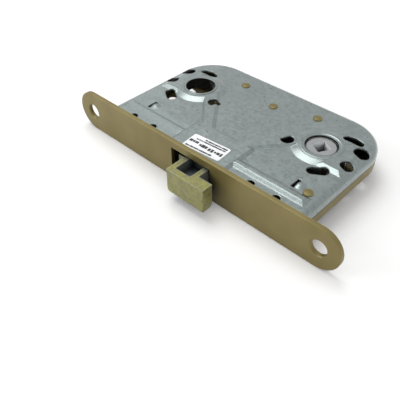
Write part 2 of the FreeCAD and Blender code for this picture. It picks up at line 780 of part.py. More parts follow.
# Follower
def follower_hub():
    """Moulded hub with a disc in each bore, two flanges, a four-sided cam and a square socket."""
    body = plate("follower_hub", "-hub_half_height", "hub_half_height",
                 lambda sketch: circle(sketch, HUB_X, "backset", "hub_neck_radius"))
    steps = [("hub_flange_bottom", "hub_half_height", "hub_disc_radius"),
             ("-hub_half_height", "crank_bottom", "hub_disc_radius"),
             ("hub_flange_bottom", "hub_flange_top", "hub_flange_radius"),
             ("-hub_flange_top", "crank_bottom", "hub_flange_radius")]
    for bottom, top, radius in steps:
        sketch = new_sketch(body, bottom)
        circle(sketch, HUB_X, "backset", radius)
        pad(body, sketch, f"{top} - ({bottom})")
    cam = new_sketch(body, "cam_bottom")
    corners = [(1, 1, 0), (1, 1, 1), (-1, 1, 1), (-1, 1, 0), (-1, -1, 0), (-1, -1, 1), (1, -1, 1), (1, -1, 0)]
    polygon(cam, [(f"{HUB_X} + {right} * " + ("cam_corner" if tall else "cam_half_width"),
                   f"backset + {up} * " + ("cam_half_width" if tall else "cam_corner"))
                  for right, up, tall in corners])
    pad(body, cam, "cam_top - cam_bottom")

    def face_edge(edge):
        box = edge.BoundBox
        end_face = box.ZLength < 0.01 and abs(abs(box.ZMin) - amount("hub_half_height")) < 0.01
        return end_face and box.XLength > amount("spindle_square")

    round_edges(body, face_edge, "hub_edge", kind="Chamfer")
    reach = "spindle_square / sqrt(2)"
    turns = [f"(spindle_turn + {quarter * 90 + 45})" for quarter in range(4)]
    pierce(body, "-hub_half_height", "2 * hub_half_height",
           lambda sketch: polygon(sketch, [(f"{HUB_X} + {reach} * cos{turn}", f"backset + {reach} * sin{turn}")
                                           for turn in turns]))
    return body


def follower_crank():
    """Steel plate pressed on the hub, with the arm that pulls the link."""
    height = "crank_top - crank_bottom"
    body = plate("follower_crank", "crank_bottom", "crank_top",
                 lambda sketch: circle(sketch, HUB_X, "backset", "follower_crank_radius"))
    arm = new_sketch(body, "crank_bottom")
    stadium(arm, (HUB_X, "backset"), HUB_LINK_PIN, "crank_eye")
    pad(body, arm, height)
    pierce(body, "crank_bottom", height,
           lambda sketch: circle(sketch, HUB_X, "backset", "hub_neck_radius + press_gap"))
    pierce(body, "crank_bottom", height, lambda sketch: circle(sketch, *HUB_LINK_PIN, "pin_radius"))
    return body


def thrust_washers():
    """Thin washers between the hub's flanges and the sheets."""
    washers = []
    for word, bottom, top in (("upper", "hub_flange_top", f"-({LOW_FLOOR})"),
                              ("lower", LOW_FLOOR, "-hub_flange_top")):
        washers.append(ring(f"{word}_thrust_washer", HUB_X, "backset", bottom, top,
                            "thrust_washer_outer", "thrust_washer_inner"))
    return group("thrust_washers", washers)


def detent_spring():
    """Leaf that lies on the cam's flat, with a loop round a post at each end."""
    bottom = "cam_bottom + 0.2"
    top = "cam_top - 0.2"
    face = f"{HUB_X} + cam_half_width + spring_gap"
    leaf = block("leaf", (face, "backset - spring_post_spread", bottom),
                 (f"{face} + spring_thickness", "backset + spring_post_spread", top))
    spots = [POSTS[2][:2], POSTS[3][:2]]
    loops = [rod(f"loop_{number}", *spot, bottom, top, "spring_loop_radius")
             for number, spot in enumerate(spots)]
    eyes = join("loop_eyes", [rod(f"loop_eye_{number}", *spot, bottom, top, "spring_post_radius + press_gap")
                              for number, spot in enumerate(spots)])
    return cut("detent_spring", join("leaf_and_loops", [leaf] + loops), eyes)


def spring_posts():
    posts = [post(f"spring_post_{number}", *POSTS[number], "spring_post_radius", "cam_bottom",
                  "spring_post_radius", "cam_top") for number in (2, 3)]
    return group("spring_posts", posts)


def rating_label():
    """Blank sticker with rounded corners on the middle pad."""
    blank = doc.addObject("Part::Box", "label_blank")
    bind(blank, "Length", "label_length")
    bind(blank, "Width", "label_width")
    bind(blank, "Height", "label_thickness")
    doc.recompute()
    label = doc.addObject("Part::Fillet", "rating_label")
    label.Base = blank
    upright = [number for number, edge in enumerate(blank.Shape.Edges, start=1) if edge.BoundBox.ZLength > 0.01]
    label.Edges = [(number, amount("label_round"), amount("label_round")) for number in upright]
    label.Label = "rating_label"
    label.Placement.Rotation = FreeCAD.Rotation(FreeCAD.Vector(0, 0, 1), 1)
    bind(label, "Placement.Rotation.Angle", "label_turn")
    half_x = "(label_length * cos(label_turn) - label_width * sin(label_turn)) / 2"
    half_y = "(label_length * sin(label_turn) + label_width * cos(label_turn)) / 2"
    return place(label, f"label_x - {half_x}", f"label_y - {half_y}", "case_half_height + pad_height")


def name_node(thing, name):
    thing.Label = name
    return thing


def build():
    cover, tray = case_shells()
    nodes = [
        name_node(tray, "case_tray"),
        name_node(cover, "case_cover"),
        faceplate(),
        rivets(),
        hook_bolt(),
        crank("front_crank", FRONT_PIVOT, [FRONT_PIN]),
        crank("rear_crank", REAR_PIVOT, [REAR_PIN, REAR_LINK_PIN]),
        *crank_fittings(),
        bolt_pin("front_bolt_pin", FRONT_PIN),
        bolt_pin("rear_bolt_pin", REAR_PIN),
        link_pin("rear_link_pin", REAR_LINK_PIN),
        link_pin("hub_link_pin", HUB_LINK_PIN),
        drive_link(),
        follower_hub(),
        follower_crank(),
        thrust_washers(),
        detent_spring(),
        spring_posts(),
        rating_label(),
    ]
    doc.recompute()
    failed = [item.Name for item in doc.Objects if "Invalid" in item.State or "Error" in item.State]
    if failed:
        raise RuntimeError(f"failed objects: {failed}")
    for node in nodes:
        if node.Shape.isNull() or not node.Shape.isValid():
            raise RuntimeError(f"{node.Label} has no valid shape")
    os.makedirs("parts", exist_ok=True)
    for node in nodes:
        node.Shape.exportStep(os.path.join("parts", f"{node.Label}.step"))
        box = node.Shape.BoundBox
        print(f"{node.Label}: {len(node.Shape.Solids)} solids, {node.Shape.Volume:.1f} mm3, "
              f"X {box.XMin:.2f} to {box.XMax:.2f}, Y {box.YMin:.2f} to {box.YMax:.2f}, "
              f"Z {box.ZMin:.2f} to {box.ZMax:.2f}")


build()
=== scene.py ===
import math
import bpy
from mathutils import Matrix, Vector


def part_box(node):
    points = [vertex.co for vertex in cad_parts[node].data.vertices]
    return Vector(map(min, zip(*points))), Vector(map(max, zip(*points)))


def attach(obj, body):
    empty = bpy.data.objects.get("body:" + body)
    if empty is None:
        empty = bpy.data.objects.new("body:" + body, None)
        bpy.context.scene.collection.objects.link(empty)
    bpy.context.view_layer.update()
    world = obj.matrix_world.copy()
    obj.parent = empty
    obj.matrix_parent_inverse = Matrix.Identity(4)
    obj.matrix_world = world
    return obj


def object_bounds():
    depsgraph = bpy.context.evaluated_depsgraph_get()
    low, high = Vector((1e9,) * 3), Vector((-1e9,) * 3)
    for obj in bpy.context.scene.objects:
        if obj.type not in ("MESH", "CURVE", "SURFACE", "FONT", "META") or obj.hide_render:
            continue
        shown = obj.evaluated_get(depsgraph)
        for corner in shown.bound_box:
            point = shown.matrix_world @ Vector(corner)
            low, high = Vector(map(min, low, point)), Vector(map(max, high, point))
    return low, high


bl_info = {
    "name": "Sliding door lock case",
    "version": (1, 0, 0),
    "blender": (4, 5, 0),
    "location": "3D View > Sidebar > Lock Case",
    "description": "Finishes, fastener heads, label and studio for a sliding door lock case",
    "category": "Add Mesh",
}

import bpy
from mathutils import Matrix, Vector

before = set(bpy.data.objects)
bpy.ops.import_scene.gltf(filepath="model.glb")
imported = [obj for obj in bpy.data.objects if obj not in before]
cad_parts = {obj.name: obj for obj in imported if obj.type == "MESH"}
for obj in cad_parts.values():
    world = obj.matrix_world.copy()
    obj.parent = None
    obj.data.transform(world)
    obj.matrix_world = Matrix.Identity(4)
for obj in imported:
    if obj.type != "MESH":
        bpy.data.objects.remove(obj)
SOLID_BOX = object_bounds()
MM = 0.001


# Settings that a user would change

class LockFinishes(bpy.types.PropertyGroup):
    """Colours and surface of each finish."""

    coat: bpy.props.FloatVectorProperty(
        name="Bronze coat", description="Satin coat on the faceplate, tray and rivets",
        subtype="COLOR", default=(0.165, 0.132, 0.043), min=0, max=1)
    coat_light: bpy.props.FloatVectorProperty(
        name="Bronze coat, light", description="Lighter drift in the bronze coat",
        subtype="COLOR", default=(0.196, 0.159, 0.057), min=0, max=1)
    coat_roughness: bpy.props.FloatProperty(
        name="Coat roughness", description="Roughness of the bronze coat", default=0.42, min=0, max=1)
    zinc_sheet: bpy.props.FloatVectorProperty(
        name="Galvanised sheet", description="Bare zinc coated sheet of the cover",
        subtype="COLOR", default=(0.190, 0.229, 0.224), min=0, max=1)
    zinc_sheet_light: bpy.props.FloatVectorProperty(
        name="Galvanised sheet, light", description="Lighter crystals in the zinc coat",
        subtype="COLOR", default=(0.270, 0.317, 0.309), min=0, max=1)
    spangle: bpy.props.FloatProperty(
        name="Spangle size", description="Width of one zinc crystal", subtype="DISTANCE", unit="LENGTH",
        default=1.3 * MM, min=0.1 * MM)
    casting: bpy.props.FloatVectorProperty(
        name="Bolt casting", description="Yellow passivated zinc of the bolt",
        subtype="COLOR", default=(0.255, 0.244, 0.070), min=0, max=1)
    casting_grey: bpy.props.FloatVectorProperty(
        name="Bolt casting, grey", description="Thin passivation where grey zinc shows",
        subtype="COLOR", default=(0.130, 0.136, 0.100), min=0, max=1)
    plastic: bpy.props.FloatVectorProperty(
        name="Follower plastic", description="Moulded plastic of the follower",
        subtype="COLOR", default=(0.27, 0.28, 0.285), min=0, max=1)
    washer: bpy.props.FloatVectorProperty(
        name="Washer plastic", description="Natural plastic of the thrust and crank washers",
        subtype="COLOR", default=(0.75, 0.73, 0.68), min=0, max=1)
    steel: bpy.props.FloatVectorProperty(
        name="Inner steel", description="Plated steel of the cranks, link and pins",
        subtype="COLOR", default=(0.55, 0.55, 0.54), min=0, max=1)
    label: bpy.props.FloatVectorProperty(
        name="Label film", description="White film of the label",
        subtype="COLOR", default=(0.80, 0.81, 0.82), min=0, max=1)
    ink: bpy.props.FloatVectorProperty(
        name="Label ink", description="Dark print on the label",
        subtype="COLOR", default=(0.02, 0.022, 0.03), min=0, max=1)


class LockFittings(bpy.types.PropertyGroup):
    """Sizes of the small fittings."""

    rivet_radius: bpy.props.FloatProperty(
        name="Rivet head radius", description="Radius of a formed rivet head", subtype="DISTANCE",
        unit="LENGTH", default=2.5 * MM)
    rivet_rise: bpy.props.FloatProperty(
        name="Rivet head rise", description="Height of a rivet head above the sheet", subtype="DISTANCE",
        unit="LENGTH", default=0.65 * MM)
    tail_radius: bpy.props.FloatProperty(
        name="Post tail radius", description="Radius of a post's peened end under the tray",
        subtype="DISTANCE", unit="LENGTH", default=1.5 * MM)
    tail_rise: bpy.props.FloatProperty(
        name="Post tail rise", description="Height of a post's peened end", subtype="DISTANCE",
        unit="LENGTH", default=0.3 * MM)
    label_turn: bpy.props.FloatProperty(
        name="Label turn", description="How far the label is stuck on askew", subtype="ANGLE",
        unit="ROTATION", default=math.radians(5))
    label_centre: bpy.props.FloatVectorProperty(
        name="Label centre", description="Middle of the label on the cover", subtype="TRANSLATION",
        unit="LENGTH", size=2, default=(0.9 * MM, 11.1 * MM))
    fine_print: bpy.props.FloatProperty(
        name="Fine print", description="Height of the small bars on the label", subtype="DISTANCE",
        unit="LENGTH", default=1.25 * MM)
    bold_print: bpy.props.FloatProperty(
        name="Bold print", description="Height of the large bars on the label", subtype="DISTANCE",
        unit="LENGTH", default=2.5 * MM)


class LockStudio(bpy.types.PropertyGroup):
    """Camera, floor and lights."""

    azimuth: bpy.props.FloatProperty(
        name="Camera azimuth", description="Turn of the camera about Z", subtype="ANGLE",
        unit="ROTATION", default=math.radians(44.058))
    elevation: bpy.props.FloatProperty(
        name="Camera elevation", description="Height of the camera above the floor", subtype="ANGLE",
        unit="ROTATION", default=math.radians(42.745))
    roll: bpy.props.FloatProperty(
        name="Camera roll", description="Turn of the camera about its own axis", subtype="ANGLE",
        unit="ROTATION", default=math.radians(-0.501))
    place: bpy.props.FloatVectorProperty(
        name="Camera place", description="Where the camera stands", subtype="TRANSLATION", unit="LENGTH",
        default=(137.464 * MM, -134.786 * MM, 158.143 * MM))
    lens: bpy.props.FloatProperty(
        name="Lens", description="Focal length on a 36 mm wide sensor", default=46.94, unit="CAMERA")
    floor_colour: bpy.props.FloatVectorProperty(
        name="Floor colour", description="Plain pale floor", subtype="COLOR", default=(0.86, 0.86, 0.86),
        min=0, max=1)
    ambient: bpy.props.FloatProperty(
        name="Ambient light", description="Strength of the white surroundings", default=0.74, min=0)


# Places on the case in millimetres, the same as in the solids
RIVET_SPOTS = [(-23.1, 69.0), (24.9, 69.0), (1.3, 62.5), (54.5, 18.5)]
CRANK_SPOTS = [(10.43, 20.46, -7.8), (3.53, 30.26, -6.6)]
SPRING_SPOTS = [(49.0, 40.5, -7.8), (49.0, 59.5, -7.8)]
FOLLOWER_CENTRE = (40, 50)
HANDLE_CENTRE = (-40, 50)
COVER_LEVEL = 6.6
TRAY_LEVEL = -6.6

# Radii in millimetres between which a finish, a painted shade or a painted light changes: where it is whole,
# and where it ends
BORE_WALL = (8.12, 8.4)
SOCKET_CORNER = (5.0, 5.2)
DISC_SEAM = (7.5, 7.4)

# The lip's section as radius and height: out along its underside, up its rim and back over the crest
LIP_PROFILE = [(8.12, 7.3), (10.9, 7.3), (10.9, 7.82), (10.2, 7.98), (9.9, 8.02), (9.6, 7.98), (8.12, 7.36)]
LIP_STEPS = 96

# Rows of print on the label in millimetres: start, end and height above its middle
FINE_ROWS = [(-3.0, 9.4, 3.9), (-7.5, 9.4, 2.4), (-9.2, 6.2, -4.1)]
BOLD_ROWS = [(-9.3, -5.0, 0.1), (-3.2, 1.0, -0.6), (2.4, 9.6, -1.0)]
PRINT_PITCH = 0.7
BAR_LENGTH = 0.85
PRINT_LIFT = 0.01

# Colours for painted shade in hollows, at bore walls, deep in the socket and round the disc, for painted light
# on the socket walls, and for bare edges and thin coats
BRONZE_PAINTED_SHADE = (0.012, 0.010, 0.006)
ZINC_PAINTED_SHADE = (0.012, 0.014, 0.014)
SHEARED_EDGE_AND_SHADE = (0.02, 0.022, 0.022)
CASTING_PAINTED_SHADE = (0.012, 0.016, 0.017)
THIN_PASSIVATION = (0.17, 0.19, 0.195)
ROSY_PASSIVATION = (0.27, 0.23, 0.17)
BARE_CASTING = (0.38, 0.39, 0.38)
SOCKET_PAINTED_LIGHT = (0.72, 0.74, 0.75)
SOCKET_PAINTED_SHADE = (0.02, 0.024, 0.024)
SEAM_SHADE = (0.008, 0.01, 0.012)

# Soft square lamps in metres and watts: name, place, width and power
LAMPS = [
    ("top_light", (-0.45, 0.14, 1.0), 0.66, 5.8),
    ("front_light", (-0.66, -0.70, 0.42), 0.55, 3.6),
    ("side_light", (1.05, -0.25, 0.45), 0.60, 2.2),
]
LAMP_AIM = (0, 0.03, 0)
FLOOR_HALF = 3.0
FLOOR_GAP = 0.1 * MM


# Shader tools

def new_material(name):
    material = bpy.data.materials.new(name)
    material.use_nodes = True
    tree = material.node_tree
    tree.nodes.clear()
    output = tree.nodes.new("ShaderNodeOutputMaterial")
    surface = tree.nodes.new("ShaderNodeBsdfPrincipled")
    tree.links.new(surface.outputs["BSDF"], output.inputs["Surface"])
    return material, tree, surface


def feed(tree, socket, value):
    """Plug an output into a socket, or set the socket to a plain value."""
    if isinstance(value, bpy.types.NodeSocket):
        tree.links.new(value, socket)
    else:
        socket.default_value = value


def object_place(tree, stretch=(1, 1, 1)):
    place = tree.nodes.new("ShaderNodeTexCoord").outputs["Object"]
    if stretch == (1, 1, 1):
        return place
    mapping = tree.nodes.new("ShaderNodeMapping")
    tree.links.new(place, mapping.inputs["Vector"])
    mapping.inputs["Scale"].default_value = stretch
    return mapping.outputs["Vector"]


def noise(tree, vector, size, detail=3.0, roughness=0.55, distortion=0.0):
    """Noise whose lumps are about one size across, in metres."""
    texture = tree.nodes.new("ShaderNodeTexNoise")
    feed(tree, texture.inputs["Vector"], vector)
    texture.inputs["Scale"].default_value = 1 / size
    texture.inputs["Detail"].default_value = detail
    texture.inputs["Roughness"].default_value = roughness
    texture.inputs["Distortion"].default_value = distortion
    return texture.outputs["Fac"]


def crystals(tree, vector, size):
    """A random shade for each crystal of about one size across."""
    texture = tree.nodes.new("ShaderNodeTexVoronoi")
    feed(tree, texture.inputs["Vector"], vector)
    texture.inputs["Scale"].default_value = 1 / size
    split = tree.nodes.new("ShaderNodeSeparateColor")
    tree.links.new(texture.outputs["Color"], split.inputs["Color"])
    return split.outputs["Red"]


def spread(tree, value, low, high, to_low=0.0, to_high=1.0):
    change = tree.nodes.new("ShaderNodeMapRange")
    feed(tree, change.inputs["Value"], value)
    change.inputs["From Min"].default_value = low
    change.inputs["From Max"].default_value = high
    change.inputs["To Min"].default_value = to_low
    change.inputs["To Max"].default_value = to_high
    return change.outputs["Result"]


def blend_colours(tree, factor, first, second, how="MIX"):
    mix = tree.nodes.new("ShaderNodeMix")
    mix.data_type = "RGBA"
    mix.blend_type = how
    feed(tree, mix.inputs["Factor"], factor)
    colours = [socket for socket in mix.inputs if socket.type == "RGBA"]
    for socket, colour in zip(colours, (first, second)):
        feed(tree, socket, colour if isinstance(colour, bpy.types.NodeSocket) else (*colour, 1))
    return next(socket for socket in mix.outputs if socket.type == "RGBA")


def combine(tree, how, first, second):
    maths = tree.nodes.new("ShaderNodeMath")
    maths.operation = how
    feed(tree, maths.inputs[0], first)
    feed(tree, maths.inputs[1], second)
    return maths.outputs[0]


def times(tree, first, second):
    return combine(tree, "MULTIPLY", first, second)


def plus(tree, first, second):
    return combine(tree, "ADD", first, second)


def relief(tree, surface, height, depth, strength=1.0, soften=0.0):
    """Bump with a depth in metres, over edges that look rounded to a radius."""
    bump = tree.nodes.new("ShaderNodeBump")
    if soften:
        bevel = tree.nodes.new("ShaderNodeBevel")
        bevel.samples = 8
        bevel.inputs["Radius"].default_value = soften
        tree.links.new(bevel.outputs["Normal"], bump.inputs["Normal"])
    feed(tree, bump.inputs["Height"], height)
    bump.inputs["Distance"].default_value = depth
    bump.inputs["Strength"].default_value = strength
    tree.links.new(bump.outputs["Normal"], surface.inputs["Normal"])


def edge_wear_and_shade(tree, radius, sharp=0.75):
    """How much the surface turns within a radius: 0 on a flat, 1 where the cosine is down to sharp."""
    bevel = tree.nodes.new("ShaderNodeBevel")
    bevel.samples = 6
    bevel.inputs["Radius"].default_value = radius
    geometry = tree.nodes.new("ShaderNodeNewGeometry")
    dot = tree.nodes.new("ShaderNodeVectorMath")
    dot.operation = "DOT_PRODUCT"
    tree.links.new(bevel.outputs["Normal"], dot.inputs[0])
    tree.links.new(geometry.outputs["Normal"], dot.inputs[1])
    return spread(tree, dot.outputs["Value"], 1.0, sharp)


def beyond(tree, axis, start, end):
    """How far a place lies past a start towards an end on one axis of the object: 0 to 1."""
    split = tree.nodes.new("ShaderNodeSeparateXYZ")
    tree.links.new(object_place(tree), split.inputs["Vector"])
    return spread(tree, split.outputs[axis], start, end)


def axis_distance(tree, centre):
    """Distance of a place from an upright axis through a centre given in millimetres."""
    flat = tree.nodes.new("ShaderNodeVectorMath")
    flat.operation = "MULTIPLY"
    tree.links.new(object_place(tree), flat.inputs[0])
    flat.inputs[1].default_value = (1, 1, 0)
    reach = tree.nodes.new("ShaderNodeVectorMath")
    reach.operation = "DISTANCE"
    tree.links.new(flat.outputs["Vector"], reach.inputs[0])
    reach.inputs[1].default_value = (centre[0] * MM, centre[1] * MM, 0)
    return reach.outputs["Value"]


def ring_mask(tree, centre, whole, end):
    """Share of a finish, a painted shade or a painted light by distance from an upright axis: 1 where it is
    whole, 0 where it ends.
    """
    return spread(tree, axis_distance(tree, centre), end * MM, whole * MM)


def crevice(tree, reach, shut=0.62, deep=0.2):
    """How much a place is walled in within a reach: 0 in the open, 1 deep in a pocket."""
    shelter = tree.nodes.new("ShaderNodeAmbientOcclusion")
    shelter.samples = 8
    shelter.inputs["Distance"].default_value = reach
    return spread(tree, shelter.outputs["AO"], shut, deep)


# Finishes

def bronze_coat(name, settings, lift=1.0):
    """Satin bronze coat: soft drifts of tone, fine grain, lighter rubbed edges and painted shade in walled-in
    places.
    """
    material, tree, surface = new_material(name)
    place = object_place(tree)
    drift = noise(tree, place, 18 * MM, 2.0)
    grain = noise(tree, place, 0.35 * MM, 2.0, 0.6)
    tone = spread(tree, drift, 0.35, 0.65)
    dark = [channel * lift for channel in settings.coat]
    light = [channel * lift for channel in settings.coat_light]
    base = blend_colours(tree, tone, dark, light)
    speckle = spread(tree, grain, 0.3, 0.7, 0.86, 1.12)
    shade = tree.nodes.new("ShaderNodeCombineColor")
    for channel in ("Red", "Green", "Blue"):
        feed(tree, shade.inputs[channel], speckle)
    grained = blend_colours(tree, 1.0, base, shade.outputs["Color"], "MULTIPLY")
    worn = times(tree, edge_wear_and_shade(tree, 0.35 * MM), spread(tree, drift, 0.4, 0.6, 0.25, 0.6))
    coloured = blend_colours(tree, worn, grained, [min(1, channel * 1.7) for channel in light])
    # Painted shade: the coat darkens to near black where the surface is walled in
    feed(tree, surface.inputs["Base Color"],
         blend_colours(tree, crevice(tree, 18 * MM, 0.5, 0.15), coloured, BRONZE_PAINTED_SHADE))
    surface.inputs["Metallic"].default_value = 0.45
    feed(tree, surface.inputs["Roughness"],
         spread(tree, grain, 0.3, 0.7, settings.coat_roughness - 0.05, settings.coat_roughness + 0.08))
    surface.inputs["Specular IOR Level"].default_value = 0.5
    relief(tree, surface, grain, 0.012 * MM, 0.6)
    return material


def galvanised(name, settings, soften=0.9 * MM):
    """Bare galvanised sheet: zinc crystals, rolling lines, cloudy patches, painted shade along each bend,
    darker bore walls, painted shade in walled-in places and duller ends.
    """
    material, tree, surface = new_material(name)
    place = object_place(tree)
    wobble = noise(tree, place, 2.2 * MM, 3.0, 0.6, 0.6)
    flake = crystals(tree, place, settings.spangle)
    cloud = noise(tree, place, 14 * MM, 3.0, 0.6)
    rolled = noise(tree, object_place(tree, (1, 14, 1)), 6 * MM, 3.0, 0.6)
    mixed = plus(tree, times(tree, flake, 0.35), times(tree, wobble, 0.65))
    tone = spread(tree, plus(tree, mixed, times(tree, cloud, 0.5)), 0.45, 1.05)
    base = blend_colours(tree, tone, settings.zinc_sheet[:], settings.zinc_sheet_light[:])
    streak = spread(tree, rolled, 0.52, 0.72, 0.0, 0.4)
    rubbed = [channel * 1.25 for channel in settings.zinc_sheet_light]
    streaked = blend_colours(tree, streak, base, rubbed)
    # Painted shade: a darker line along each bend and edge of the sheet, where the rounded edge turns away
    # from the light
    bend_painted_shade = times(tree, edge_wear_and_shade(tree, 0.45 * MM, 0.97), 0.55)
    bend_shaded = blend_colours(tree, bend_painted_shade, streaked, [channel * 0.45 for channel in settings.zinc_sheet])
    # Bore walls darken: bare cut steel there, and partly painted shade inside the bores
    bare_and_shaded_bore = combine(tree, "MAXIMUM",
                      ring_mask(tree, FOLLOWER_CENTRE, *BORE_WALL), ring_mask(tree, HANDLE_CENTRE, *BORE_WALL))
    bored = blend_colours(tree, bare_and_shaded_bore, bend_shaded, SHEARED_EDGE_AND_SHADE)
    # Painted shade: the sheet darkens to near black where it is walled in
    feed(tree, surface.inputs["Base Color"],
         blend_colours(tree, crevice(tree, 18 * MM, 0.5, 0.15), bored, ZINC_PAINTED_SHADE))
    surface.inputs["Metallic"].default_value = 0.8
    front_left = times(tree, beyond(tree, "X", -17 * MM, -19 * MM), beyond(tree, "Y", 20 * MM, 18 * MM))
    far_left = beyond(tree, "X", -44 * MM, -49 * MM)
    handled = combine(tree, "MAXIMUM", front_left, times(tree, far_left, 0.35))
    polish = spread(tree, mixed, 0.2, 0.8, 0.26, 0.38)
    feed(tree, surface.inputs["Roughness"], plus(tree, polish, times(tree, handled, 0.26)))
    surface.inputs["Coat Weight"].default_value = 0.7
    surface.inputs["Coat Roughness"].default_value = 0.28
    relief(tree, surface, wobble, 0.02 * MM, 0.3, soften)
    return material


def passivated_casting(name, settings):
    """Yellow passivated zinc casting: blotches of yellow-green over grey, greyer along the edges, and painted
    shade where walled in.
    """
    material, tree, surface = new_material(name)
    place = object_place(tree)
    blotch = noise(tree, place, 2.2 * MM, 4.0, 0.7, 0.9)
    fine = noise(tree, place, 0.6 * MM, 3.0, 0.65)
    tint = noise(tree, place, 4.5 * MM, 2.0)
    yellow = spread(tree, plus(tree, blotch, times(tree, fine, 0.6)), 0.66, 0.88, 0.22, 1.0)
    base = blend_colours(tree, yellow, settings.casting_grey[:], settings.casting[:])
    rosy = blend_colours(tree, spread(tree, tint, 0.52, 0.7, 0.0, 0.3), base, ROSY_PASSIVATION)
    bare = blend_colours(tree, times(tree, edge_wear_and_shade(tree, 0.5 * MM), 0.8), rosy, BARE_CASTING)
    thin = blend_colours(tree, crevice(tree, 9 * MM, 0.82, 0.5), bare, THIN_PASSIVATION)
    # Painted shade: the casting darkens to near black where the surface is walled in
    feed(tree, surface.inputs["Base Color"],
         blend_colours(tree, crevice(tree, 7 * MM), thin, CASTING_PAINTED_SHADE))
    surface.inputs["Metallic"].default_value = 0.6
    feed(tree, surface.inputs["Roughness"], spread(tree, fine, 0.3, 0.7, 0.30, 0.44))
    relief(tree, surface, fine, 0.03 * MM, 0.6)
    return material


def plated_steel(name, settings, shade=1.0, roughness=0.3):
    """Plated steel with fine turning or rolling marks."""
    material, tree, surface = new_material(name)
    marks = noise(tree, object_place(tree, (1, 9, 1)), 1.2 * MM, 3.0, 0.6)
    dark = [channel * 0.8 * shade for channel in settings.steel]
    light = [channel * shade for channel in settings.steel]
    tone = spread(tree, marks, 0.35, 0.65)
    feed(tree, surface.inputs["Base Color"], blend_colours(tree, tone, dark, light))
    surface.inputs["Metallic"].default_value = 1.0
    feed(tree, surface.inputs["Roughness"], spread(tree, marks, 0.3, 0.7, roughness, roughness + 0.12))
    relief(tree, surface, marks, 0.008 * MM, 0.5)
    return material


def follower_accents(tree, shade):
    """Lay painted light on the socket walls, painted shade deep in the socket and painted shade round the
    disc's edge over a base colour.
    """
    # Painted light: socket walls near the axis are lit up to a pale grey
    socket = ring_mask(tree, FOLLOWER_CENTRE, *SOCKET_CORNER)
    socket_painted_light = times(tree, socket, crevice(tree, 12 * MM, 0.85, 0.5))
    shade = blend_colours(tree, socket_painted_light, shade, SOCKET_PAINTED_LIGHT)
    # Painted shade: near black deep in the socket
    shade = blend_colours(tree, crevice(tree, 12 * MM, 0.36, 0.1), shade, SOCKET_PAINTED_SHADE)
    # Painted shade: a dark ring round the disc where its gap to the bore would lie in shade
    return blend_colours(tree, ring_mask(tree, FOLLOWER_CENTRE, *DISC_SEAM), shade, SEAM_SHADE)


def moulded_plastic(name, colour, accents=None):
    """Moulded plastic with a faint spark-eroded texture, and accents laid over its colour."""
    roughness = 0.42
    material, tree, surface = new_material(name)
    grain = noise(tree, object_place(tree), 0.25 * MM, 2.0)
    drift = noise(tree, object_place(tree), 6 * MM, 2.0)
    dark = [channel * 0.9 for channel in colour]
    shade = blend_colours(tree, spread(tree, drift, 0.35, 0.65), dark, colour[:])
    feed(tree, surface.inputs["Base Color"], accents(tree, shade) if accents else shade)
    feed(tree, surface.inputs["Roughness"],
         spread(tree, grain, 0.3, 0.7, roughness - 0.05, roughness + 0.08))
    surface.inputs["Specular IOR Level"].default_value = 0.5
    relief(tree, surface, grain, 0.01 * MM, 0.5)
    return material


def film(name, colour, roughness):
    """Thin printed film with a faint unevenness."""
    material, tree, surface = new_material(name)
    drift = noise(tree, object_place(tree), 4 * MM, 2.0)
    dark = [channel * 0.94 for channel in colour]
    tone = spread(tree, drift, 0.35, 0.65)
    feed(tree, surface.inputs["Base Color"], blend_colours(tree, tone, dark, colour[:]))
    surface.inputs["Roughness"].default_value = roughness
    relief(tree, surface, drift, 0.02 * MM, 0.3)
    return material


def coat_nodes(material, *names):
    """Give CAD nodes a finish."""
    for name in names:
        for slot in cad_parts[name].material_slots:
            slot.material = material


# Geometry tools

def new_tree(name, inputs):
    """Start a Geometry Nodes tree with named inputs."""
    tree = bpy.data.node_groups.new(name, "GeometryNodeTree")
    tree.interface.new_socket("Geometry", in_out="INPUT", socket_type="NodeSocketGeometry")
    for label, kind, value in inputs:
        socket = tree.interface.new_socket(label, in_out="INPUT", socket_type=kind)
        if value is not None:
            socket.default_value = value
    tree.interface.new_socket("Geometry", in_out="OUTPUT", socket_type="NodeSocketGeometry")
    return tree, tree.nodes.new("NodeGroupInput"), tree.nodes.new("NodeGroupOutput")


def finish_tree(tree, entry, leave, geometry):
    """End a tree in real geometry with its material."""
    real = tree.nodes.new("GeometryNodeRealizeInstances")
    paint = tree.nodes.new("GeometryNodeSetMaterial")
    tree.links.new(geometry, real.inputs["Geometry"])
    tree.links.new(real.outputs["Geometry"], paint.inputs["Geometry"])
    tree.links.new(entry.outputs["Material"], paint.inputs["Material"])
    tree.links.new(paint.outputs["Geometry"], leave.inputs["Geometry"])


def grow(name, spots, tree, values):
    """Run a tree on a cloud of points, and keep the result as a plain mesh piece."""
    cloud = bpy.data.meshes.new(f"{name}_spots")
    cloud.from_pydata([Vector(spot) * MM for spot in spots], [], [])
    piece = bpy.data.objects.new(name, cloud)
    bpy.context.collection.objects.link(piece)
    modifier = piece.modifiers.new("Grow", "NODES")
    modifier.node_group = tree
    entries = [item for item in tree.interface.items_tree if item.in_out == "INPUT"]
    sockets = {entry.name: entry.identifier for entry in entries}
    for label, value in values.items():
        modifier[sockets[label]] = value
    bpy.context.view_layer.update()
    evaluated = piece.evaluated_get(bpy.context.evaluated_depsgraph_get())
    mesh = bpy.data.meshes.new_from_object(evaluated)
    piece.modifiers.clear()
    piece.data = mesh
    mesh.name = name
    if not mesh.polygons:
        raise RuntimeError(f"{name} came out empty")
    for face in mesh.polygons:
        face.use_smooth = True
    return piece


